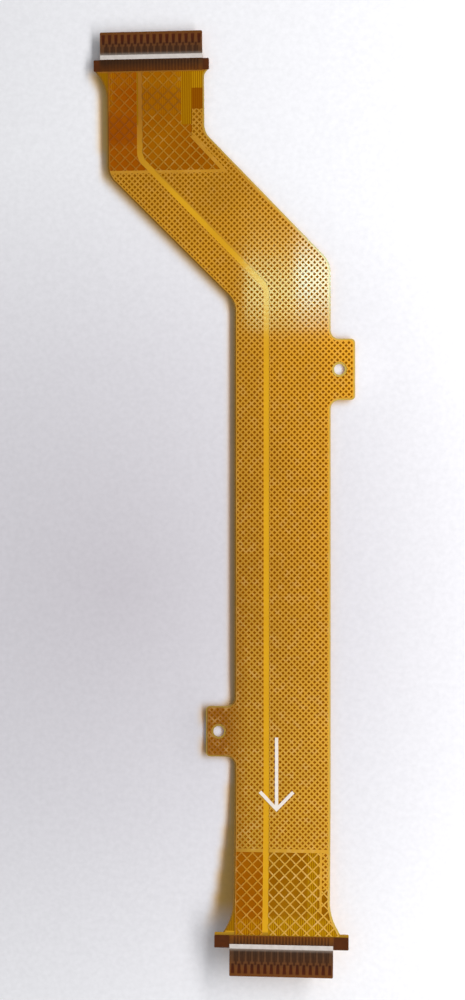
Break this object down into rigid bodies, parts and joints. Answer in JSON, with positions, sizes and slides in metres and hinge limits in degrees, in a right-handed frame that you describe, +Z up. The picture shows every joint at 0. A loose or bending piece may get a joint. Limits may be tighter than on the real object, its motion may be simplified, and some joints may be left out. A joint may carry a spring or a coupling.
{
  "type": "flexible printed circuit cable",
  "caption": "Shaped amber flex cable with a jog in its run, a stiffened plug-in tab at each end, hatched ground copper and locating holes in side ears.",
  "frame": {"origin": "under the middle of the strip's outline, on the surface that it lies on", "axes": "+Y along the strip to its upper end, +Z up out of the printed side, +X to the right as that side is read from above"},
  "size_m": [0.0244, 0.0876, 0.0019],
  "materials": {
    "amber_film": "amber polyimide film, glossy",
    "brown_stiffener": "dark brown laminate, satin",
    "contact_gold": "gold plating over copper",
    "covered_copper": "copper seen through amber film",
    "white_ink": "screen-printed white ink"
  },
  "bodies": {
    "root": {"base_film": "amber_film", "upper_stiffener": "brown_stiffener", "lower_stiffener": "brown_stiffener", "upper_front_contacts": "contact_gold", "upper_rear_contacts": "contact_gold", "lower_front_contacts": "contact_gold", "lower_rear_contacts": "contact_gold", "left_ground_copper": "covered_copper", "right_ground_copper": "covered_copper", "upper_insertion_mark": "white_ink", "lower_insertion_mark": "white_ink", "direction_arrow": "white_ink"}
  },
  "joints": []
}
